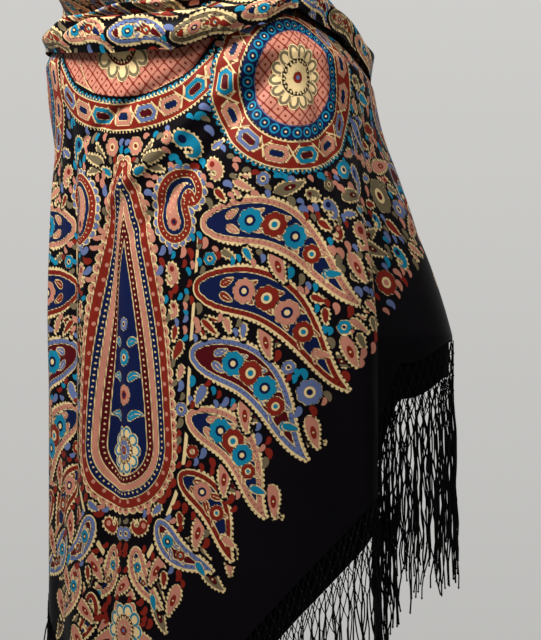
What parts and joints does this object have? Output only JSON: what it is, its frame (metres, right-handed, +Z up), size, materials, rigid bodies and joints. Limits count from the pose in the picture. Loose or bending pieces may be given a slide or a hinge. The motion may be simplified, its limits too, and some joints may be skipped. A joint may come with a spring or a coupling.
{
  "type": "russian shawl",
  "caption": "Square printed wool shawl with a knotted silk fringe, folded on its diagonal and worn round the shoulders with its top turned down.",
  "frame": {"origin": "between the wearer's shoulders, in the middle of the neck opening", "axes": "+Z up, +Y toward the wearer's front, +X toward the wearer's right arm"},
  "size_m": [0.4733, 0.2894, 1.1242],
  "materials": {
    "printed_wool": "soft wool with a slight sheen, printed with paisleys, leaves and small flowers on black",
    "black_wool": "soft black wool",
    "black_silk": "twisted black silk, slightly shiny"
  },
  "bodies": {
    "root": {"turned_top": "printed_wool", "upper_cloth_back": "printed_wool", "upper_cloth_left": "printed_wool", "upper_cloth_right": "printed_wool", "under_cloth_back": "black_wool", "under_cloth_left": "black_wool", "under_cloth_right": "black_wool", "upper_fringe_left": "black_silk", "upper_fringe_right": "black_silk", "under_fringe_left": "black_silk", "under_fringe_right": "black_silk"}
  },
  "joints": []
}
